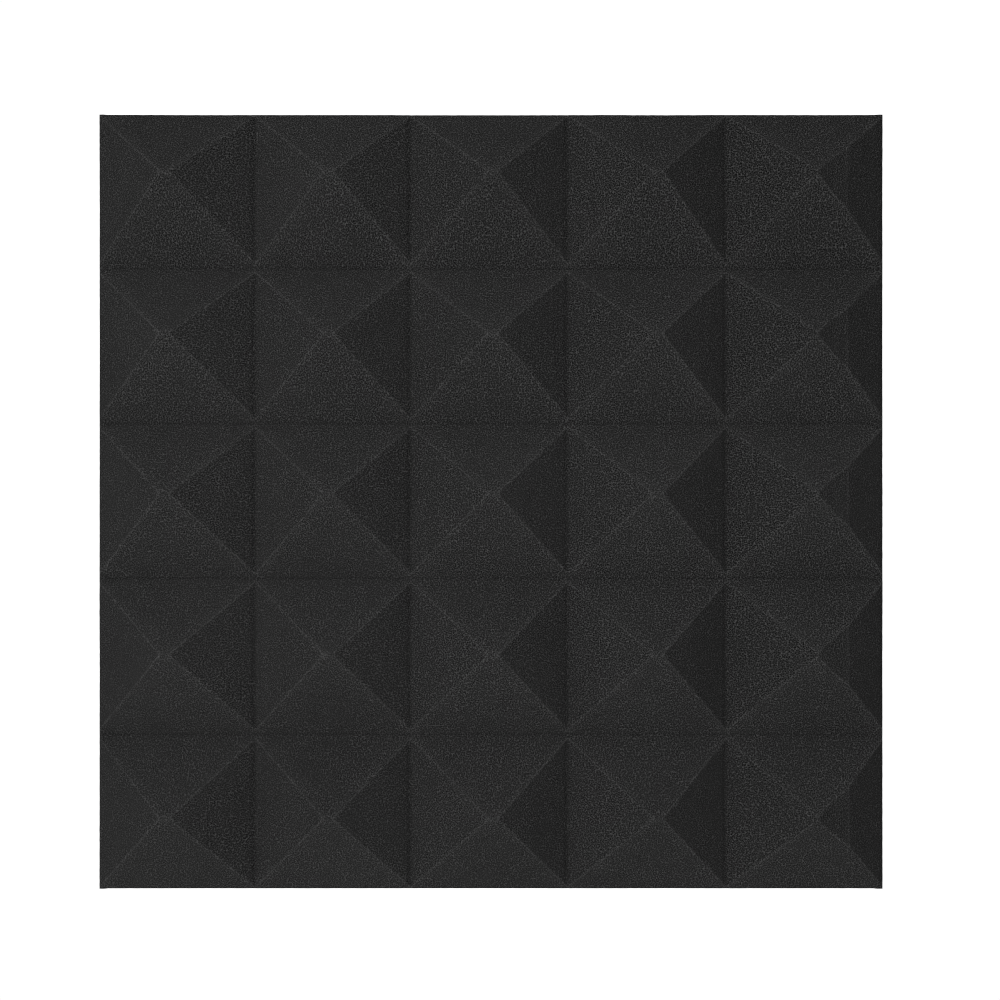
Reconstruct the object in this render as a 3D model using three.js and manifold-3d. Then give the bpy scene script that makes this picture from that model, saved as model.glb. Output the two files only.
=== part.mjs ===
// Acoustic foam panel: one soft square tile that is stuck to a wall to soak up sound. The face towards the room is
// cut into a grid of pyramids. The wall side carries square pads of double-sided tape, each under a paper liner
// that is peeled off before the tile goes up.
//
// Millimetres. X runs across the panel, Z up it, and the pyramids point along -Y into the room. The origin is the
// middle of the panel in the plane of the wall, which is the outer face of the liners.

import * as THREE from 'three';
import { mergeVertices } from 'three/addons/utils/BufferGeometryUtils.js';
import Module from 'manifold-3d';

// The foam tile, from its flat back to the tips of the pyramids
const panelWidth = 305;
const panelHeight = 301.5;
const panelThickness = 51;

// The teeth that two passes of the cutting wire leave. The second pass makes the rows and cuts deeper.
const columnCount = 5;
const rowCount = 5;
const toothHeight = 37;
const passStep = 2;
const columnTrim = 0.25;
const rowTrim = 1.25;
const columnLean = 0.9;
const rowLean = 1.4;

// The last column is bent a little: its ridge is lower and its outer flank has a crease that runs up the panel
const bentRidgeDrop = 2.7;
const creaseInset = 15.9;
const creaseRise = 20.3;

// The pads of double-sided tape on the back, one at each corner and one in the middle
const padSize = 50;
const padThickness = 1;
const padCornerRadius = 4;
const padMargin = 15;

// The paper liner on each pad, with a tab for the fingers
const linerThickness = 0.15;
const tabLength = 9;
const tabWidth = 26;
const tabCornerRadius = 7;

// Where the layers lie, counted from the wall into the room
const linerBack = -linerThickness;
const foamBack = linerBack - padThickness;

const colours = {
  foam: { color: 0x2b2b2b, roughness: 1, metalness: 0 },
  tape: { color: 0xd9d7cf, roughness: 0.7, metalness: 0 },
  paper: { color: 0xd8c48e, roughness: 0.6, metalness: 0 },
};

const wasm = await Module();
wasm.setup();

// A closed mesh as a solid that can be cut
function solidFrom(geometry) {
  const bare = geometry.index ? geometry.toNonIndexed() : geometry.clone();
  bare.deleteAttribute('normal');
  bare.deleteAttribute('uv');
  const merged = mergeVertices(bare);
  return new wasm.Manifold(new wasm.Mesh({
    numProp: 3,
    vertProperties: new Float32Array(merged.attributes.position.array),
    triVerts: new Uint32Array(merged.index.array),
  }));
}

// A cut solid as a mesh's geometry again
function geometryFrom(solid) {
  const mesh = solid.getMesh();
  const geometry = new THREE.BufferGeometry();
  geometry.setAttribute('position', new THREE.BufferAttribute(mesh.vertProperties, mesh.numProp));
  geometry.setIndex(new THREE.BufferAttribute(mesh.triVerts, 1));
  geometry.computeVertexNormals();
  return geometry;
}

// The heights along one row of teeth, as [place, height above the back] from valley to valley
function toothLine({ count, pitch, valleyHeight, lean, bend }) {
  const start = -count * pitch / 2;
  const line = [[start, valleyHeight]];
  for (let i = 0; i < count; i += 1) {
    const valley = start + i * pitch;
    const bent = bend && i === count - 1;
    const peakHeight = valleyHeight + toothHeight - (bent ? bend.ridgeDrop : 0);
    line.push([valley + pitch / 2 + lean, peakHeight]);
    if (bent) line.push([bend.creasePlace, valleyHeight + bend.creaseRise]);
    line.push([valley + pitch, valleyHeight]);
  }
  return line;
}

// The foam is what both passes leave: one long sawtooth up the panel and one across it, and the lower of the two
function foamGeometry() {
  const rowValley = panelThickness - toothHeight;
  const columnLine = toothLine({
    count: columnCount,
    pitch: (panelWidth + 2 * columnTrim) / columnCount,
    valleyHeight: rowValley + passStep,
    lean: columnLean,
    bend: {
      ridgeDrop: bentRidgeDrop,
      creasePlace: panelWidth / 2 - creaseInset,
      creaseRise,
    },
  });
  const rowLine = toothLine({
    count: rowCount,
    pitch: (panelHeight + 2 * rowTrim) / rowCount,
    valleyHeight: rowValley,
    lean: rowLean,
  });

  // Columns: the outline lies in X and -Y, and runs up the whole height
  const columnShape = new THREE.Shape();
  columnShape.moveTo(columnLine[0][0], 0);
  for (const [x, height] of columnLine) columnShape.lineTo(x, -height);
  columnShape.lineTo(columnLine.at(-1)[0], 0);
  const columns = new THREE.ExtrudeGeometry(columnShape, { depth: panelHeight, bevelEnabled: false });
  columns.translate(0, 0, -panelHeight / 2);

  // Rows: the outline lies in -Y and Z, and runs across the whole width
  const rowShape = new THREE.Shape();
  rowShape.moveTo(0, rowLine[0][0]);
  for (const [z, height] of rowLine) rowShape.lineTo(-height, z);
  rowShape.lineTo(0, rowLine.at(-1)[0]);
  const rows = new THREE.ExtrudeGeometry(rowShape, { depth: panelWidth, bevelEnabled: false });
  rows.translate(0, 0, -panelWidth / 2);
  rows.applyMatrix4(new THREE.Matrix4().makeBasis(
    new THREE.Vector3(0, 1, 0),
    new THREE.Vector3(0, 0, 1),
    new THREE.Vector3(1, 0, 0),
  ));

  return geometryFrom(solidFrom(columns).intersect(solidFrom(rows)));
}

// A die-cut square with rounded corners, and a tab on its +X side where one is asked for
function squareShape(tab) {
  const half = padSize / 2;
  const radius = padCornerRadius;
  const shape = new THREE.Shape();
  shape.moveTo(-half + radius, -half);
  shape.lineTo(half - radius, -half);
  shape.absarc(half - radius, -half + radius, radius, -Math.PI / 2, 0);
  if (tab) {
    const tip = half + tabLength;
    shape.lineTo(half, -tabWidth / 2);
    shape.lineTo(tip - tabCornerRadius, -tabWidth / 2);
    shape.absarc(tip - tabCornerRadius, -tabWidth / 2 + tabCornerRadius, tabCornerRadius, -Math.PI / 2, 0);
    shape.absarc(tip - tabCornerRadius, tabWidth / 2 - tabCornerRadius, tabCornerRadius, 0, Math.PI / 2);
    shape.lineTo(half, tabWidth / 2);
  }
  shape.absarc(half - radius, half - radius, radius, 0, Math.PI / 2);
  shape.absarc(-half + radius, half - radius, radius, Math.PI / 2, Math.PI);
  shape.absarc(-half + radius, -half + radius, radius, Math.PI, Math.PI * 1.5);
  return shape;
}

// A flat sheet of that outline, lying in X and Z, with its room side at y = 0
function sheetGeometry(tab, thickness) {
  const curveSegments = 6;
  const sheet = new THREE.ExtrudeGeometry(squareShape(tab), {
    depth: thickness, bevelEnabled: false, curveSegments,
  });
  sheet.rotateX(-Math.PI / 2);
  return sheet;
}

function mesh(name, geometry, finish) {
  const made = new THREE.Mesh(geometry, new THREE.MeshStandardMaterial(finish));
  made.name = name;
  return made;
}

const panel = new THREE.Group();

const foam = mesh('foam_panel', foamGeometry(), colours.foam);
foam.position.y = foamBack;
panel.add(foam);

// Each pad with its liner. The tab points out of the panel's middle, and down on the middle pad.
const padX = panelWidth / 2 - padMargin - padSize / 2;
const padZ = panelHeight / 2 - padMargin - padSize / 2;
const padPlaces = [
  { name: 'upper_left', x: -padX, z: padZ, turn: Math.PI },
  { name: 'upper_right', x: padX, z: padZ, turn: 0 },
  { name: 'lower_left', x: -padX, z: -padZ, turn: Math.PI },
  { name: 'lower_right', x: padX, z: -padZ, turn: 0 },
  { name: 'middle', x: 0, z: 0, turn: Math.PI / 2 },
];

for (const { name, x, z, turn } of padPlaces) {
  const place = new THREE.Group();
  place.position.set(x, 0, z);
  place.rotation.y = turn;
  const pad = mesh(`tape_pad_${name}`, sheetGeometry(false, padThickness), colours.tape);
  pad.position.y = foamBack;
  const liner = mesh(`release_liner_${name}`, sheetGeometry(true, linerThickness), colours.paper);
  liner.position.y = linerBack;
  place.add(pad, liner);
  panel.add(place);
}

export default panel;
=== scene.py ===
# Acoustic foam panel: one soft charcoal tile cut into pyramids, which is stuck to a wall by pads of
# double-sided tape. Each pad is still under its paper liner. Metres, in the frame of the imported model.

import math

import bpy
import numpy as np
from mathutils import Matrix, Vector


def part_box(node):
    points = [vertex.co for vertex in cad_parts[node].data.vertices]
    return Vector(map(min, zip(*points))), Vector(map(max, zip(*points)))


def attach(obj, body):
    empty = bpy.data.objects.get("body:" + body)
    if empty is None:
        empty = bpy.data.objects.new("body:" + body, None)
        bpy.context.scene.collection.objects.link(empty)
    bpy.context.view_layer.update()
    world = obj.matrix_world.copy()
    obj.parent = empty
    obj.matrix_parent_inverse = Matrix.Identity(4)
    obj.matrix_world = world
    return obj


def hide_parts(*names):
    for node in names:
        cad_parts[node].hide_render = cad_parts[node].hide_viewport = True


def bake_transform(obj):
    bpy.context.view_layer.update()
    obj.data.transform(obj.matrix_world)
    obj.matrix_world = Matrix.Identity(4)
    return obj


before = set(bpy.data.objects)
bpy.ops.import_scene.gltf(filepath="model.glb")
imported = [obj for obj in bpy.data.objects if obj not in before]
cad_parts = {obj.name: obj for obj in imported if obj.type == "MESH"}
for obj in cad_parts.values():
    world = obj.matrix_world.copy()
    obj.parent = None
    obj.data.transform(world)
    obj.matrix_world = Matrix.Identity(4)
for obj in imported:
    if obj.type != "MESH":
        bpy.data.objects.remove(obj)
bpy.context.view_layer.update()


# Foam tile
# One block of open-cell polyurethane foam. A hot wire is drawn through it twice, up its columns and along
# its rows, which leaves the grid of pyramids. The last column is bent, with a crease up its outer flank.

mm = 0.001
tile_low, tile_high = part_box("foam_panel")
tile_width = tile_high.x - tile_low.x
tile_height = tile_high.z - tile_low.z
tile_thickness = tile_high.y - tile_low.y
tooth_height = 37 * mm

# How much deeper the rows' pass goes than the columns', how far the pattern runs past the tile's edges, and
# how far to the right and up the peaks lean
pass_step = 2 * mm
column_trim = 0.25 * mm
row_trim = 1.25 * mm
column_lean = 0.9 * mm
row_lean = 1.4 * mm

# The last column: how much lower its ridge is, where its outer flank has a knee and a crease, in from the
# edge and up from the groove, and how far the crease leans to the left at the top and to the right at the
# bottom
bent_ridge_drop = 2.7 * mm
knee_inset = 23.3 * mm
knee_rise = 26.9 * mm
crease_inset = 17.0 * mm
crease_rise = 21.4 * mm
crease_drift = 0.55 * mm

# How far in from the tile's left and right sides the rows' grooves begin to rise to the columns' cut
edge_reach = 4 * mm

# How far the wire wandered at each valley and at each peak, from left to right and from the bottom up
column_valley_slips = np.array([0.0, -0.2, -0.7, -0.7, -0.1, 0.0]) * mm
column_peak_slips = np.array([-0.8, -0.6, 0.0, 0.6, -0.8]) * mm
row_valley_slips = np.array([0.0, 0.5, 0.6, 0.15, -0.3, 0.0]) * mm
row_peak_slips = np.array([0.3, 0.8, 0.4, -0.4, -0.7]) * mm

# How far the wire rounds the corners of its own cut, in how many samples, and how far the ridges are
# rounded where the two cuts meet
groove_reach = 0.3 * mm
groove_samples = 9
ridge_blend = 0.8 * mm

# Relief of the skin: broad waves, the cut cells, and the smoother cells of the sides
wave_reach = 9 * mm
wave_height = 0.12 * mm
wave_seed = 3
cell_reach = 0.55 * mm
cell_height = 0.035 * mm
cell_seed = 5
side_relief = 0.012 * mm
side_seed = 7

# How strongly the cells show: more to the right and up, more on flanks that face the tile's middle, and
# more on flanks that face left and down. Then come two sizes of patch, each a share, a reach and a seed,
# and the limits of it all.
coarse_trend = (0.13, 0.14)
coarse_facing = (0.22, 0.08)
coarse_lean = (0.06, 0.045)
coarse_patches = [(0.06, 12 * mm, 11), (0.09, 1.5 * mm, 12)]
coarse_limits = (0.2, 2.5)

# What the sides and the back have for their places on the cuts: far from each ridge, groove and crease
away_from_cuts = (10.0, 0.5, 0.5)

# Cells that have burst into small pits: across, up, radius and depth in millimetres
pits = [
    (145.1, -120.4, 0.9, 0.9),
    (-18.2, -71.1, 0.7, 0.8),
    (-99.8, 62.3, 0.6, 0.6),
    (-31.8, 19.2, 0.6, 0.6),
]

# The step of the front's fine grid of points, how many of its steps the wider cells of the flat back take,
# the gap between the rings round the four sides, and the small chamfer that joins them to both faces
grid_step = 0.6 * mm
back_step_share = 4
wall_step = 1.3 * mm
rim_chamfer = 0.4 * mm


def tooth_line(where, size, valley, lean, valley_slips, peak_slips, drop=0.0, bends=()):
    """Height that one pass of the wire leaves at each place, and how many grooves lie before it.

    It climbs straight from a valley to a peak, half a pitch and the lean further on, and falls straight to
    the next valley. Each corner is off its even place by its slip. The last tooth is lower by the drop, and
    its fall has the bends, each a place and a rise above the valley. The mean over a short window rounds
    the corners. The count of grooves rises evenly from one to the next, so it also says how far between
    them a place lies."""
    count = len(peak_slips)
    pitch = size / count
    valleys = pitch * (np.arange(count + 1) - count / 2) + valley_slips
    peaks = pitch * (np.arange(count) + 0.5 - count / 2) + lean + peak_slips
    tops = np.full(count, valley + tooth_height)
    tops[-1] -= drop
    places = np.concatenate([valleys, peaks, [place for place, rise in bends]])
    heights = np.concatenate([np.full(count + 1, valley), tops, [valley + rise for place, rise in bends]])
    order = np.argsort(places)
    window = np.linspace(-groove_reach, groove_reach, groove_samples)
    line = np.mean([np.interp(where + step, places[order], heights[order]) for step in window], axis=0)
    return line, np.interp(where, valleys, np.arange(count + 1))


def soft_lower(a, b):
    """The lower of two heights, with a rounded ridge where they cross.

    It drops by up to a quarter of the blend, as the square of how alike they are."""
    alike = np.clip(1 - np.abs(a - b) / ridge_blend, 0, 1)
    return np.minimum(a, b) - alike**2 * ridge_blend / 4


def cloudy(rows, columns, reach, seed):
    """Random relief in smooth humps, with a spread of one.

    It is noise with each wave scaled by a bell curve of its pitch. The reach is a hump's size in steps."""
    noise = np.random.default_rng(seed).normal(size=(rows, columns))
    down = np.fft.fftfreq(rows)[:, None]
    across = np.fft.rfftfreq(columns)[None, :]
    keep = np.exp(-2 * (math.pi * reach) ** 2 * (down**2 + across**2))
    smooth = np.fft.irfft2(np.fft.rfft2(noise) * keep, s=noise.shape)
    return smooth / smooth.std()


def cut_face(x, z):
    """Height of the pyramids above the back, and three numbers that say where on them each place is.

    The height is the lower of the two cuts, less the pits, with the skin's waves. Near the left and right
    sides it is at least the columns' cut times how near the side is, so the rows' grooves end there. The
    numbers are how much lower the rows' cut is, in millimetres, and how many grooves of each cut lie before
    the place."""
    valley = tile_thickness - tooth_height
    half_width = tile_width / 2
    crease_places = [half_width - 2 * crease_inset, half_width - crease_inset, half_width]
    drift = crease_drift * np.interp(x, crease_places, [0, 1, 0]) * z / (tile_height / 2)
    up_columns, columns_passed = tooth_line(
        x + drift,
        tile_width + 2 * column_trim,
        valley + pass_step,
        column_lean,
        column_valley_slips,
        column_peak_slips,
        bent_ridge_drop,
        [(half_width - knee_inset, knee_rise), (half_width - crease_inset, crease_rise)],
    )
    along_rows, rows_passed = tooth_line(
        z, tile_height + 2 * row_trim, valley, row_lean, row_valley_slips, row_peak_slips
    )
    height = soft_lower(up_columns, along_rows)
    near_side = np.clip(1 - (half_width - rim_chamfer - np.abs(x)) / edge_reach, 0, 1)
    height = np.maximum(height, valley + (up_columns - valley) * near_side)
    for across, up, radius, depth in pits:
        away = np.hypot(x - across * mm, z - up * mm)
        height -= depth * mm * np.exp(-((away / (radius * mm)) ** 2))
    height += wave_height * cloudy(*x.shape, wave_reach / grid_step, wave_seed)
    return height, np.stack([(up_columns - along_rows) / mm, columns_passed, rows_passed], axis=-1)


def coarseness(x, z, height):
    """How strongly the cells show, with a mean near one.

    It is one, plus the trend times the place, plus the slope times the sum of the lean and the facing times
    the place, plus the patches. A place counts from minus one to one, from edge to edge."""
    across, up = x / (tile_width / 2), z / (tile_height / 2)
    climb_up, climb_across = np.gradient(height, grid_step)
    facing = climb_across * (coarse_lean[0] + coarse_facing[0] * across)
    facing += climb_up * (coarse_lean[1] + coarse_facing[1] * up)
    patches = sum(
        share * cloudy(*x.shape, reach / grid_step, seed) for share, reach, seed in coarse_patches
    )
    trend = 1 + coarse_trend[0] * across + coarse_trend[1] * up
    return np.clip(trend + facing + patches, *coarse_limits)


def quads(grid):
    """The four corners of every cell of a grid of point numbers."""
    return np.stack([grid[:-1, :-1], grid[:-1, 1:], grid[1:, 1:], grid[1:, :-1]], axis=-1).reshape(-1, 4)


def rim(grid):
    """The outermost values of a grid, once round: its first row, last column, last row and first column."""
    return np.concatenate([grid[0, :-1], grid[:-1, -1], grid[-1, :0:-1], grid[:0:-1, 0]])


def solid(name, points, faces):
    """A smooth mesh object from an array of points, and one array of faces for each number of corners."""
    corners = np.concatenate([group.ravel() for group in faces])
    sizes = np.concatenate([np.full(len(group), group.shape[1]) for group in faces])
    mesh = bpy.data.meshes.new(name)
    mesh.vertices.add(len(points))
    mesh.vertices.foreach_set("co", points.astype(np.float32).ravel())
    mesh.loops.add(len(corners))
    mesh.loops.foreach_set("vertex_index", corners.astype(np.int32))
    mesh.polygons.add(len(sizes))
    mesh.polygons.foreach_set("loop_start", (np.cumsum(sizes) - sizes).astype(np.int32))
    mesh.polygons.foreach_set("use_smooth", np.ones(len(sizes), bool))
    mesh.update(calc_edges=True)
    made = bpy.data.objects.new(name, mesh)
    bpy.context.scene.collection.objects.link(made)
    return made


def foam_block():
    """The whole tile as one closed surface, with its points' coarseness and their places on the cuts.

    Front: a grid over width and height, raised by the face's height. Sides: rings round the tile, each a
    share of the way from the front's rim to the back. Back: a grid with wider cells, whose outer cells take
    up all the last ring's points."""
    sizes = (tile_width, tile_height)
    steps = [back_step_share * round(size / grid_step / back_step_share) for size in sizes]
    half = np.array(sizes) / 2 - rim_chamfer
    x, z = np.meshgrid(*[np.linspace(-reach, reach, count + 1) for reach, count in zip(half, steps)])
    height, cuts = cut_face(x, z)
    coarse = coarseness(x, z, height)
    height += cell_height * cloudy(*x.shape, cell_reach / grid_step, cell_seed)
    back_y = tile_high.y
    front = np.stack([x, back_y - height, z], axis=-1).reshape(-1, 3)
    front_grid = np.arange(x.size).reshape(x.shape)

    # Rings from the front's rim to the back's, which stand out by the chamfer except at the last
    top = front[rim(front_grid)]
    outward = np.sign(top[:, [0, 2]]) * (np.abs(top[:, [0, 2]]) > half - grid_step / 2)
    wall_count = math.ceil((tile_thickness - tooth_height) / wall_step)
    share = np.linspace(0, 1, wall_count)[:, None]
    rough = side_relief * cloudy(wall_count, len(top), cell_reach / grid_step, side_seed)
    first = top[:, 1] + rim_chamfer
    last = back_y - rim_chamfer
    ring_y = first + (last - first) * share
    out = rim_chamfer + rough - side_relief
    walls = np.stack([top[:, 0] + out * outward[:, 0], ring_y, top[:, 2] + out * outward[:, 1]], axis=-1)
    back_rim = np.stack([top[:, 0], np.full(len(top), back_y), top[:, 2]], axis=-1)
    rings = np.concatenate([walls, back_rim[None]])
    ring_grid = np.arange(rings[..., 0].size).reshape(rings.shape[:2]) + len(front)
    side_grid = np.vstack([rim(front_grid), ring_grid])[::-1]
    side_grid = np.hstack([side_grid, side_grid[:, :1]])

    # Back: its inner points, then the coarse grid with the last ring's every fourth point as its rim
    coarse_x = x[::back_step_share, ::back_step_share]
    coarse_z = z[::back_step_share, ::back_step_share]
    inner = np.stack([coarse_x, np.full(coarse_x.shape, back_y), coarse_z], axis=-1)[1:-1, 1:-1]
    inner = inner.reshape(-1, 3)
    back_grid = np.zeros(coarse_x.shape, int)
    inside = back_grid[1:-1, 1:-1]
    inside[:] = np.arange(inside.size).reshape(inside.shape) + ring_grid[-1, -1] + 1
    ring = ring_grid[-1]
    places = rim(np.arange(back_grid.size).reshape(back_grid.shape))
    back_grid.flat[places] = ring[::back_step_share]

    # Each outer cell of the back has the ring's five points on one side, and one or two inner points
    rows, columns = back_grid.shape
    row, column = np.unravel_index(places, back_grid.shape)
    this_inner = back_grid[np.clip(row, 1, rows - 2), np.clip(column, 1, columns - 2)]
    next_inner = np.roll(this_inner, -1)
    closed_ring = np.append(ring, ring[0])
    starts = np.arange(0, len(ring), back_step_share)[:, None]
    fine = closed_ring[starts + np.arange(back_step_share + 1)]
    corner = this_inner == next_inner
    border = np.hstack([fine, next_inner[:, None], this_inner[:, None]])
    faces = [
        np.concatenate([quads(front_grid), quads(side_grid), quads(back_grid[1:-1, 1:-1])[:, ::-1]]),
        border[~corner][:, ::-1],
        border[corner][:, :-1][:, ::-1],
    ]
    points = np.concatenate([front, rings.reshape(-1, 3), inner])
    others = len(points) - coarse.size
    cuts = np.concatenate([cuts.reshape(-1, 3), np.tile(away_from_cuts, (others, 1))])
    return points, faces, np.concatenate([coarse.ravel(), np.ones(others)]), cuts


foam_points, foam_faces, foam_coarse, foam_cuts = foam_block()
foam_tile = solid("foam_tile", foam_points, foam_faces)
coarse_values = foam_tile.data.attributes.new("coarse", "FLOAT", "POINT").data
coarse_values.foreach_set("value", foam_coarse.astype(np.float32))
cut_values = foam_tile.data.attributes.new("cuts", "FLOAT_VECTOR", "POINT").data
cut_values.foreach_set("vector", foam_cuts.astype(np.float32).ravel())
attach(foam_tile, "panel")
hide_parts("foam_panel")

# The foam is dyed charcoal right through. The wire leaves a skin of cut cells, dark pores between paler
# struts. A thin painted highlight lies along the ridges, and painted shade makes the grooves a little darker
# than the flanks. Each tone is a lightness, and the colour that the foam has there.
pore_tone = (0.1, (0.004, 0.004, 0.004, 1))
skin_tone = (0.5, (0.027, 0.027, 0.027, 1))
strut_tone = (0.95, (0.085, 0.085, 0.085, 1))

# Each pattern of the skin: its size, and how much it changes the lightness. The cells' middle is the mean
# of their pattern, and the other patterns have a mean of a half.
cell_size = 0.65 * mm
cell_middle = 0.41
cell_gain = 0.48
speck_size = 0.45 * mm
speck_gain = 0.48
patch_size = 45 * mm
patch_gain = 0.08
clump_size = 5 * mm
clump_gain = 0.1
grain_relief = 0.25 * mm
grain_bump = 0.5

# A place lies on a side of the tile where more than this much of its normal points that way
side_facing = 0.9

# Painted highlights on the edges: how far each reaches, and how much it adds to the lightness. The line on a
# ridge and the faint band on the rows' flanks beside it reach as far as this gap between the cuts' heights
# in millimetres. The crease's is a share of the way between grooves, and the tips' is a depth.
ridge_gap = 1.1
ridge_highlight_gain = 0.1
flank_gap = 8
flank_highlight_gain = 0.024
column_count = len(column_peak_slips)
crease_passed = column_count - crease_inset / (tile_width / column_count)
crease_share = 0.012
crease_highlight_gain = 0.1
tip_depth = 2.8 * mm
tip_highlight_gain = 0.06

# Painted shade in the grooves of the columns' and of the rows' pass: how far each lies before its valley and
# how far it reaches, both as shares of the way between grooves, and how much it takes from the lightness
groove_middles = (0.014, 0)
groove_shares = (0.022, 0.014)
groove_shade_gains = (0.06, 0.018)

# The ragged breaks in the painted highlights and shade: their size, and how far they swing their gains, up
# and down
break_size = 3 * mm
break_gain = 2.6


def maths(tree, operation, *values):
    """A math node's result. Each value is a number or another node's output."""
    node = tree.nodes.new("ShaderNodeMath")
    node.operation = operation
    for socket, value in zip(node.inputs, values):
        if isinstance(value, bpy.types.NodeSocket):
            tree.links.new(value, socket)
        else:
            socket.default_value = value
    return node.outputs[0]


def total(tree, start, *parts):
    """The start plus each value times its weight."""
    for value, weight in parts:
        start = maths(tree, "MULTIPLY_ADD", value, weight, start)
    return start


def fading(tree, value, reach):
    """One where the value is nothing, falling smoothly to nothing where it is the reach or more."""
    node = tree.nodes.new("ShaderNodeMapRange")
    node.interpolation_type = "SMOOTHSTEP"
    tree.links.new(value, node.inputs["Value"])
    node.inputs["From Max"].default_value = reach
    node.inputs["To Min"].default_value = 1
    node.inputs["To Max"].default_value = 0
    return node.outputs["Result"]


def texture(tree, kind, place, size, **sockets):
    """A solid texture node whose pattern repeats about once in that size."""
    node = tree.nodes.new(kind)
    tree.links.new(place, node.inputs["Vector"])
    node.inputs["Scale"].default_value = 1 / size
    for name, value in sockets.items():
        node.inputs[name].default_value = value
    return node


def ramp(tree, value, *stops):
    """A colour for each value, straight between stops of place and colour."""
    node = tree.nodes.new("ShaderNodeValToRGB")
    tree.links.new(value, node.inputs["Fac"])
    elements = node.color_ramp.elements
    while len(elements) < len(stops):
        elements.new(1.0)
    for element, (place, colour) in zip(elements, stops):
        element.position = place
        element.color = colour
    return node.outputs["Color"]


def raise_skin(tree, height, strength, distance):
    """Bends the shader's normal as if the surface stood out by the height times the distance.

    The strength is the share of that bend which is kept."""
    bump = tree.nodes.new("ShaderNodeBump")
    bump.inputs["Strength"].default_value = strength
    bump.inputs["Distance"].default_value = distance
    tree.links.new(height, bump.inputs["Height"])
    tree.links.new(bump.outputs["Normal"], tree.nodes["Principled BSDF"].inputs["Normal"])


def on_skin(tree, place):
    """Places on the skin, as two numbers: how far across and how far up.

    On the left and right sides the depth is added to the first, and on the top and bottom to the second,
    so that the pattern runs on round the tile's edges."""
    split = tree.nodes.new("ShaderNodeSeparateXYZ")
    tree.links.new(place, split.inputs[0])
    facing = tree.nodes.new("ShaderNodeSeparateXYZ")
    tree.links.new(tree.nodes.new("ShaderNodeNewGeometry").outputs["True Normal"], facing.inputs[0])
    join = tree.nodes.new("ShaderNodeCombineXYZ")
    for axis, socket in zip("XZ", join.inputs):
        side = maths(tree, "GREATER_THAN", maths(tree, "ABSOLUTE", facing.outputs[axis]), side_facing)
        tree.links.new(maths(tree, "MULTIPLY_ADD", side, split.outputs["Y"], split.outputs[axis]), socket)
    return join.outputs["Vector"]


def foam_grain(tree, place):
    """Cells and specks, each less its mean and times its gain.

    They are laid flat on the skin, which keeps them even and fine."""
    skin = on_skin(tree, place)
    cells = texture(tree, "ShaderNodeTexVoronoi", skin, cell_size)
    cells.voronoi_dimensions = "2D"
    specks = texture(tree, "ShaderNodeTexNoise", skin, speck_size, Detail=0.0)
    specks.noise_dimensions = "2D"
    middle = -cell_middle * cell_gain - 0.5 * speck_gain
    return total(tree, middle, (cells.outputs["Distance"], cell_gain), (specks.outputs["Fac"], speck_gain))


def painted_edge_light_and_shade(tree, place):
    """The painted highlights on the ridges, flanks, crease and tips less the painted shade in the grooves,
    all times the ragged breaks.

    A groove, the crease or a band on the flanks shows only where its own cut is the lower one. How far a
    place is from the nearest groove is its count of grooves, folded back and forth within a half."""
    cuts = tree.nodes.new("ShaderNodeAttribute")
    cuts.attribute_name = "cuts"
    split = tree.nodes.new("ShaderNodeSeparateXYZ")
    tree.links.new(cuts.outputs["Vector"], split.inputs[0])
    gap, columns_passed, rows_passed = split.outputs
    in_columns = maths(tree, "LESS_THAN", gap, 0.0)
    in_rows = maths(tree, "GREATER_THAN", gap, 0.0)
    from_ridge = maths(tree, "ABSOLUTE", gap)
    ridges = fading(tree, from_ridge, ridge_gap)
    flanks = maths(tree, "MULTIPLY", fading(tree, from_ridge, flank_gap), in_rows)
    from_crease = maths(tree, "ABSOLUTE", maths(tree, "SUBTRACT", columns_passed, crease_passed))
    crease = maths(tree, "MULTIPLY", fading(tree, from_crease, crease_share), in_columns)
    where = tree.nodes.new("ShaderNodeSeparateXYZ")
    tree.links.new(place, where.inputs[0])
    tips = fading(tree, maths(tree, "SUBTRACT", where.outputs["Y"], tile_low.y), tip_depth)
    # Painted highlights: the ridges, the flanks beside them, the crease and the tips are made paler in
    # colour
    pale = [(ridges, ridge_highlight_gain), (flanks, flank_highlight_gain), (crease, crease_highlight_gain), (tips, tip_highlight_gain)]
    edges = total(tree, 0.0, *pale)
    # Painted shade: each groove is made darker in colour along its valley
    passes = [(columns_passed, in_columns), (rows_passed, in_rows)]
    for (passed, here), middle, share, gain in zip(passes, groove_middles, groove_shares, groove_shade_gains):
        away = maths(tree, "PINGPONG", maths(tree, "ADD", passed, middle), 0.5)
        dark = maths(tree, "MULTIPLY", fading(tree, away, share), here)
        edges = maths(tree, "MULTIPLY_ADD", dark, -gain, edges)
    breaks = texture(tree, "ShaderNodeTexNoise", place, break_size, Detail=2.0).outputs["Fac"]
    ragged = maths(tree, "MULTIPLY_ADD", breaks, break_gain, 1 - break_gain / 2)
    return maths(tree, "MULTIPLY", edges, ragged)


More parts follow.
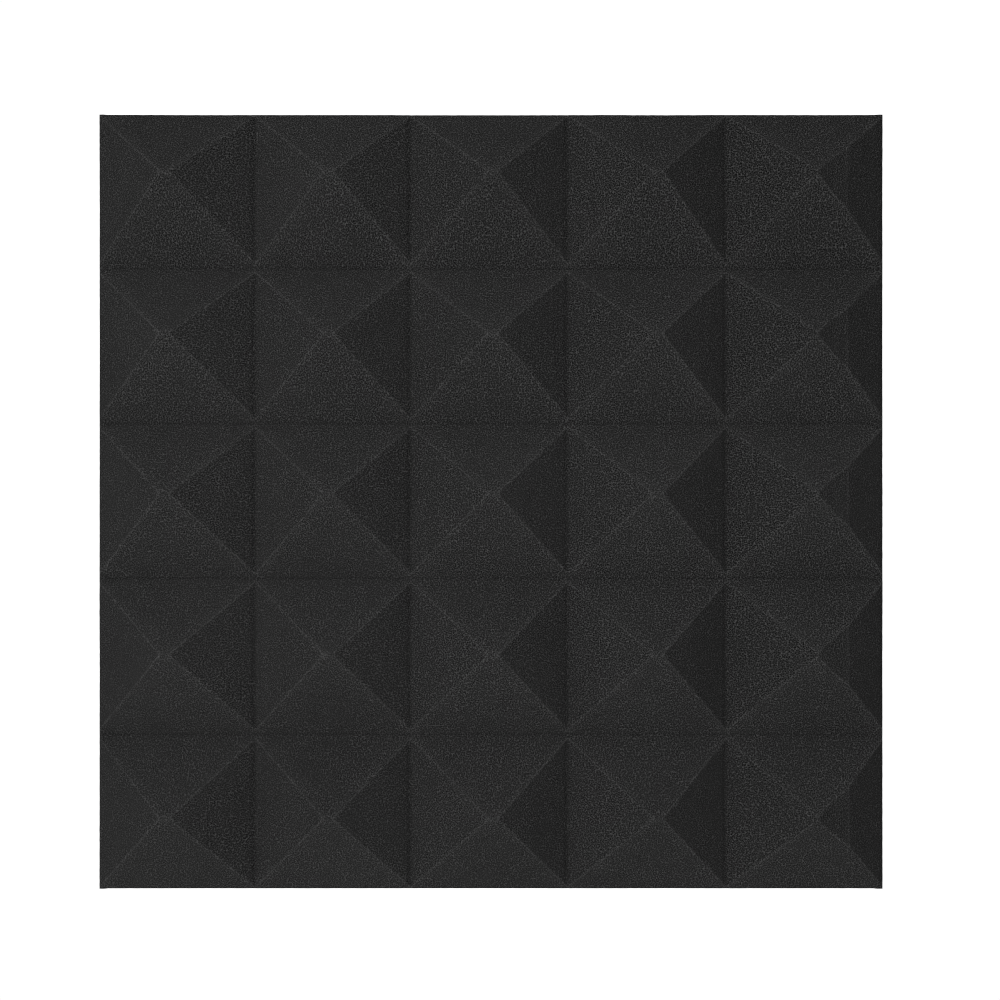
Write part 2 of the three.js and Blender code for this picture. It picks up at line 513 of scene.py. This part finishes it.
def foam_finish():
    """The grain, the patches, the clumps and the painted edge highlights and groove shade add up to one
    lightness, which picks the colour.

    lightness = the skin's own + grain times the coarseness + patches + clumps + painted edge light and
    shade, with each pattern less its mean. The grain also raises the skin."""
    material = bpy.data.materials.new("charcoal_foam")
    material.use_nodes = True
    tree = material.node_tree
    shader = tree.nodes["Principled BSDF"]
    place = tree.nodes.new("ShaderNodeTexCoord").outputs["Object"]
    coarse = tree.nodes.new("ShaderNodeAttribute")
    coarse.attribute_name = "coarse"
    grain = maths(tree, "MULTIPLY", foam_grain(tree, place), coarse.outputs["Fac"])
    patches = texture(tree, "ShaderNodeTexNoise", place, patch_size, Detail=2.0).outputs["Fac"]
    clumps = texture(tree, "ShaderNodeTexNoise", place, clump_size, Detail=2.0).outputs["Fac"]
    middle = skin_tone[0] - (patch_gain + clump_gain) / 2
    light = total(tree, middle, (patches, patch_gain), (clumps, clump_gain), (grain, 1.0))
    light = maths(tree, "ADD", light, painted_edge_light_and_shade(tree, place))
    tree.links.new(ramp(tree, light, pore_tone, skin_tone, strut_tone), shader.inputs["Base Color"])
    raise_skin(tree, grain, grain_bump, grain_relief)
    shader.inputs["Roughness"].default_value = 1.0
    shader.inputs["Diffuse Roughness"].default_value = 1.0
    shader.inputs["Specular IOR Level"].default_value = 0.0
    return material


foam_tile.data.materials.append(foam_finish())


# Tape pads
# Five squares die-cut from double-sided tape, a closed-cell foam a millimetre thick with glue on both
# faces. Each is pressed on to the foam's back, one near each corner and one in the middle.

pad_names = ["upper_left", "upper_right", "lower_left", "lower_right", "middle"]
pad_corner_radius = 4 * mm
pad_side_bulge = 0.08 * mm
pad_edge_round = 0.12 * mm

# The die leaves the sides ragged: the share of the way out from which it does, how deep the cut is ragged,
# the size of its humps in steps round the pad, and the first pad's seed
ragged_from = 0.99
ragged_depth = 0.02 * mm
ragged_reach = 1.2
pad_first_seed = 20

# Steps along a straight side and round a corner, and rings across a face, round an edge and up the side
pad_side_steps = 24
pad_corner_steps = 8
pad_face_rings = 9
pad_edge_rings = 3
pad_wall_rings = 3

# The finish: sizes and weights of the cells and of the smears of glue, and the colours for their sum
tape_cell_size = 0.25 * mm
tape_cell_weight = 0.35
smear_size = 9 * mm
smear_weight = 0.6
tape_tones = [
    (0.2, (0.55, 0.53, 0.47, 1)),
    (0.55, (0.7, 0.69, 0.65, 1)),
    (0.9, (0.8, 0.79, 0.76, 1)),
]
tape_relief = 0.05 * mm
tape_bump = 0.4
tape_roughness = 0.38


def rounded_square(half, radius, side_steps, corner_steps):
    """Points once round a square with round corners: four quarter circles, joined by straight sides."""
    turn = np.linspace(0, math.pi / 2, corner_steps + 1)
    side = np.linspace(-(half - radius), half - radius, side_steps + 1)[1:-1]
    corner = half - radius + radius * np.stack([np.cos(turn), np.sin(turn)], axis=-1)
    quarter = np.concatenate([np.stack([np.full(side.size, half), side], axis=-1), corner])
    spin = np.array([[0, -1], [1, 0]])
    return np.concatenate([quarter @ np.linalg.matrix_power(spin, turns).T for turns in range(4)])


def pad_solid(name, low, high, seed):
    """A thin square pad: its outline shrunk towards the middle by a profile of shares and depths.

    The profile runs from the middle of the foam's side out to the edge, round the bulging side and back to
    the middle of the liner's side. Its first and last rings are closed by one point each."""
    half = (high.x - low.x) / 2
    outline = rounded_square(half - pad_side_bulge, pad_corner_radius, pad_side_steps, pad_corner_steps)
    thick = high.y - low.y
    inset = pad_edge_round / half
    turn = np.linspace(0, math.pi / 2, pad_edge_rings + 1)[1:]
    flat = np.linspace(0, 1 - inset, pad_face_rings + 1)[1:]
    rise = pad_edge_round * (1 - np.cos(turn))
    out = 1 - inset + inset * np.sin(turn)
    wall = np.linspace(pad_edge_round, thick - pad_edge_round, pad_wall_rings + 2)[1:-1]
    share = np.concatenate([flat, out, np.ones(wall.size), out[::-1], flat[::-1]])
    nearer = np.concatenate([np.zeros(flat.size), rise])
    further = np.concatenate([thick - rise[::-1], np.full(flat.size, thick)])
    depth = np.concatenate([nearer, wall, further])
    bulge = pad_side_bulge * np.sin(math.pi * depth / thick) / half
    centre = np.array([(low.x + high.x) / 2, (low.z + high.z) / 2])
    rings = outline[None] * (share + bulge)[:, None, None]
    ragged = ragged_depth * cloudy(len(share), len(outline), ragged_reach, seed)
    rings = rings * (1 + (share > ragged_from)[:, None] * ragged / half)[..., None] + centre
    y = np.broadcast_to((low.y + depth)[:, None], rings.shape[:2])
    points = np.stack([rings[..., 0], y, rings[..., 1]], axis=-1)
    grid = np.arange(y.size).reshape(y.shape)
    grid = np.hstack([grid, grid[:, :1]])
    poles = np.array([[centre[0], low.y, centre[1]], [centre[0], high.y, centre[1]]])
    first, last = y.size, y.size + 1
    caps = [
        np.stack([np.full(len(outline), first), grid[0, :-1], grid[0, 1:]], axis=-1),
        np.stack([np.full(len(outline), last), grid[-1, 1:], grid[-1, :-1]], axis=-1),
    ]
    return solid(name, np.concatenate([points.reshape(-1, 3), poles]), [quads(grid)[:, ::-1], *caps])


def tape_finish():
    """Off-white closed-cell foam: fine cells under smears of glue, with a slight gloss.

    tone = cells times their weight + smears times theirs, which picks the colour and raises the skin."""
    material = bpy.data.materials.new("white_foam_tape")
    material.use_nodes = True
    tree = material.node_tree
    shader = tree.nodes["Principled BSDF"]
    place = tree.nodes.new("ShaderNodeTexCoord").outputs["Object"]
    cells = texture(tree, "ShaderNodeTexVoronoi", place, tape_cell_size).outputs["Distance"]
    smears = texture(tree, "ShaderNodeTexNoise", place, smear_size, Detail=4.0).outputs["Fac"]
    tone = total(tree, 0.0, (cells, tape_cell_weight), (smears, smear_weight))
    tree.links.new(ramp(tree, tone, *tape_tones), shader.inputs["Base Color"])
    raise_skin(tree, tone, tape_bump, tape_relief)
    shader.inputs["Roughness"].default_value = tape_roughness
    return material


tape_material = tape_finish()
for seed, pad_name in enumerate(pad_names, start=pad_first_seed):
    pad = pad_solid(f"tape_{pad_name}", *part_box(f"tape_pad_{pad_name}"), seed)
    pad.data.materials.append(tape_material)
    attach(pad, "panel")
    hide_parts(f"tape_pad_{pad_name}")


# Paper liners
# One square of waxed brown paper on each pad, die-cut with a tab for the fingers. It keeps the glue clean
# until the tile goes up, and is peeled off by its tab; here each lies on its pad.

paper_thickness = 0.12 * mm
paper_corner_radius = 4 * mm
tab_half_width = 13 * mm
tab_corner_radius = 7 * mm
tab_root_radius = 2 * mm
tab_sag = 0.4 * mm
paper_roll = 14 * mm

# The paper's slight wave: its height, the size of its humps in steps, and the first sheet's seed
paper_wave = 0.008 * mm
paper_wave_reach = 4
paper_first_seed = 40

# Steps along and across the paper and in each quarter circle, and the gap that keeps the square's end
# short of the tab's start
paper_step = 1.2 * mm
paper_arc_steps = 8
sliver = 0.02 * mm

# The finish: fibres that run up the paper, five times as long as they are wide, the pulp's clouds, the
# weight of each, and the colours for their sum
fibre_size = 0.5 * mm
fibre_stretch = (1, 1, 0.2)
pulp_size = 6 * mm
fibre_weight = 0.5
pulp_weight = 0.5
paper_tones = [
    (0.3, (0.5, 0.37, 0.17, 1)),
    (0.5, (0.68, 0.55, 0.3, 1)),
    (0.7, (0.76, 0.65, 0.42, 1)),
]
paper_relief = 0.02 * mm
paper_bump = 0.3
paper_roughness = 0.42


def paper_edge(length, half, tab):
    """Distance from the held edge, and half the width there, at stations along the paper.

    A quarter circle, the straight side and a quarter circle make the square; then a hollow quarter circle
    leads into the tab, which ends in a quarter circle of its own."""
    turn = np.linspace(0, math.pi / 2, paper_arc_steps + 1)
    corner, root, tip = paper_corner_radius, tab_root_radius, tab_corner_radius
    straight = np.linspace(corner, length - corner, round((length - 2 * corner) / paper_step))[1:-1]
    along = [
        corner - corner * np.cos(turn),
        straight,
        length - corner + (corner - sliver) * np.sin(turn),
        length + root - root * np.cos(turn),
        length + tab - tip + tip * np.sin(turn[1:]),
    ]
    across = [
        half - corner + corner * np.sin(turn),
        np.full(straight.size, half),
        half - corner + corner * np.cos(turn),
        tab_half_width + root - root * np.sin(turn),
        tab_half_width - tip + tip * np.cos(turn[1:]),
    ]
    return np.concatenate(along), np.concatenate(across)


def paper_sheet(name, pad_box, liner_box, seed):
    """A thin closed sheet: stations along it by shares across it, once for each face, joined round the rim.

    It lies flat on its pad, with a slight wave, and its tab sags towards the foam as the square of its
    reach. With the sheet come the middle of its held edge and the way from there to the tab."""
    pad_low, pad_high = (np.array(corner) for corner in pad_box)
    low, high = (np.array(corner) for corner in liner_box)
    reach = (low + high) / 2 - (pad_low + pad_high) / 2
    forward = np.array([reach[0], 0, reach[2]]) / np.hypot(reach[0], reach[2])
    sideways = np.array([forward[2], 0, -forward[0]])
    half = (pad_high[0] - pad_low[0]) / 2
    tab = 2 * np.hypot(reach[0], reach[2])
    held = (pad_low + pad_high) / 2 - forward * half
    along, across = paper_edge(2 * half, half, tab)
    share = np.linspace(-1, 1, 2 * round(half / paper_step) + 1)
    place = held + along[:, None, None] * forward + (across[:, None] * share)[..., None] * sideways
    sag = tab_sag * (np.clip(along - 2 * half, 0, None) / tab) ** 2
    wave = paper_wave * cloudy(len(along), len(share), paper_wave_reach, seed)
    wave = np.clip(wave * np.clip(along / paper_roll, 0, 1)[:, None], -2 * paper_wave, 2 * paper_wave)
    outer, inner = place.copy(), place.copy()
    outer[..., 1] = high[1] - 2 * paper_wave - sag[:, None] + wave
    inner[..., 1] = outer[..., 1] - paper_thickness
    outer_grid = np.arange(outer[..., 0].size).reshape(outer.shape[:2])
    inner_grid = outer_grid + outer_grid.size
    strip = np.vstack([rim(outer_grid), rim(inner_grid)])
    strip = np.hstack([strip, strip[:, :1]])
    faces = np.concatenate([quads(outer_grid)[:, ::-1], quads(inner_grid), quads(strip)])
    sheet = solid(name, np.concatenate([outer.reshape(-1, 3), inner.reshape(-1, 3)]), [faces])
    return sheet, held, forward


def paper_finish():
    """Waxed brown paper: long fibres, cloudy pulp and a soft shine.

    tone = fibres times their weight + pulp times its own, which picks the colour. The fibres also raise
    the skin."""
    material = bpy.data.materials.new("waxed_brown_paper")
    material.use_nodes = True
    tree = material.node_tree
    shader = tree.nodes["Principled BSDF"]
    place = tree.nodes.new("ShaderNodeTexCoord").outputs["Object"]
    stretch = tree.nodes.new("ShaderNodeMapping")
    stretch.inputs["Scale"].default_value = fibre_stretch
    tree.links.new(place, stretch.inputs["Vector"])
    stretched = stretch.outputs["Vector"]
    fibres = texture(tree, "ShaderNodeTexNoise", stretched, fibre_size, Detail=3.0).outputs["Fac"]
    pulp = texture(tree, "ShaderNodeTexNoise", place, pulp_size, Detail=5.0).outputs["Fac"]
    tone = total(tree, 0.0, (fibres, fibre_weight), (pulp, pulp_weight))
    tree.links.new(ramp(tree, tone, *paper_tones), shader.inputs["Base Color"])
    raise_skin(tree, fibres, paper_bump, paper_relief)
    shader.inputs["Roughness"].default_value = paper_roughness
    return material


paper_material = paper_finish()
for seed, pad_name in enumerate(pad_names, start=paper_first_seed):
    node = f"release_liner_{pad_name}"
    pad_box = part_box(f"tape_pad_{pad_name}")
    paper, held, forward = paper_sheet(f"paper_{pad_name}", pad_box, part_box(node), seed)
    paper.data.materials.append(paper_material)
    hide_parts(node)
    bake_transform(paper)


# Studio
# The tile hangs in front of plain white, square to the camera, over a round grey floor below the view. The
# light is soft and comes mostly from the left.

floor_drop = 150 * mm
floor_radius = 450 * mm
floor_corners = 96
floor_colour = (0.5, 0.5, 0.49, 1)
floor_roughness = 0.7
backdrop_strength = 1.03
ambient_strength = 0.248

# The camera's distance from the tile's back and its place off the tile's middle. The lens and the sensor are
# in millimetres, and the shift is a share of the sensor.
camera_distance = 860 * mm
camera_across = 3.5 * mm
camera_down = 32.5 * mm
lens_length = 77.95
sensor_width = 36
frame_shift = 0.0851

turn = np.linspace(0, 2 * math.pi, floor_corners, endpoint=False)
floor_y = tile_low.y
floor_ring = np.stack([floor_radius * np.cos(turn), floor_y + floor_radius * np.sin(turn)], axis=-1)
floor_points = np.hstack([floor_ring, np.full((turn.size, 1), tile_low.z - floor_drop)])
floor = solid("floor", floor_points, [np.arange(turn.size)[None]])
floor_material = bpy.data.materials.new("grey_floor")
floor_material.use_nodes = True
floor_shader = floor_material.node_tree.nodes["Principled BSDF"]
floor_shader.inputs["Base Color"].default_value = floor_colour
floor_shader.inputs["Roughness"].default_value = floor_roughness
floor.data.materials.append(floor_material)
floor.visible_shadow = False

# The camera sees a white backdrop, and everything else is lit by a much dimmer one
world = bpy.data.worlds.new("white_studio")
bpy.context.scene.world = world
world.use_nodes = True
world_tree = world.node_tree
backdrop = world_tree.nodes["Background"]
backdrop.inputs["Color"].default_value = (1, 1, 1, 1)
backdrop.inputs["Strength"].default_value = backdrop_strength
ambient = world_tree.nodes.new("ShaderNodeBackground")
ambient.inputs["Strength"].default_value = ambient_strength
seen = world_tree.nodes.new("ShaderNodeLightPath")
either = world_tree.nodes.new("ShaderNodeMixShader")
world_tree.links.new(seen.outputs["Is Camera Ray"], either.inputs["Fac"])
world_tree.links.new(ambient.outputs[0], either.inputs[1])
world_tree.links.new(backdrop.outputs[0], either.inputs[2])
world_tree.links.new(either.outputs[0], world_tree.nodes["World Output"].inputs["Surface"])


def soft_light(name, distance, around, above, size, power):
    """A square lamp that faces the tile's middle, at angles round it from the front and above level.

    It lies on a ball round that middle: the sine and cosine of each angle, times the distance."""
    lamp = bpy.data.lights.new(name, "AREA")
    lamp.size = size
    lamp.energy = power
    stand = bpy.data.objects.new(name, lamp)
    stand.visible_camera = False
    bpy.context.scene.collection.objects.link(stand)
    turn, climb = math.radians(around), math.radians(above)
    stand.location = (
        distance * math.sin(turn) * math.cos(climb),
        -distance * math.cos(turn) * math.cos(climb),
        distance * math.sin(climb),
    )
    stand.rotation_euler = stand.location.to_track_quat("Z", "Y").to_euler()


# Two lamps stand in front, level with the tile's middle, and two behind it
soft_light("left_light", distance=0.7, around=-20, above=0, size=0.245, power=2.64)
soft_light("right_light", distance=0.7, around=20, above=0, size=0.245, power=0.99)
soft_light("back_light", distance=1.5, around=205, above=30, size=0.6, power=14)
soft_light("back_side_light", distance=1.5, around=140, above=5, size=0.6, power=8)

camera = bpy.data.objects.new("camera", bpy.data.cameras.new("camera"))
bpy.context.scene.collection.objects.link(camera)
camera.location = (camera_across, tile_high.y - camera_distance, -camera_down)
camera.rotation_euler = (math.pi / 2, 0, 0)
camera.data.lens = lens_length
camera.data.sensor_width = sensor_width
camera.data.shift_y = frame_shift
camera.data.clip_start = 0.05
bpy.context.scene.camera = camera
bpy.context.scene.view_settings.view_transform = "Standard"

# The foam's grain is about as fine as a pixel, and these keep it
bpy.context.scene.cycles.filter_width = 0.9
bpy.context.scene.cycles.denoising_prefilter = "NONE"
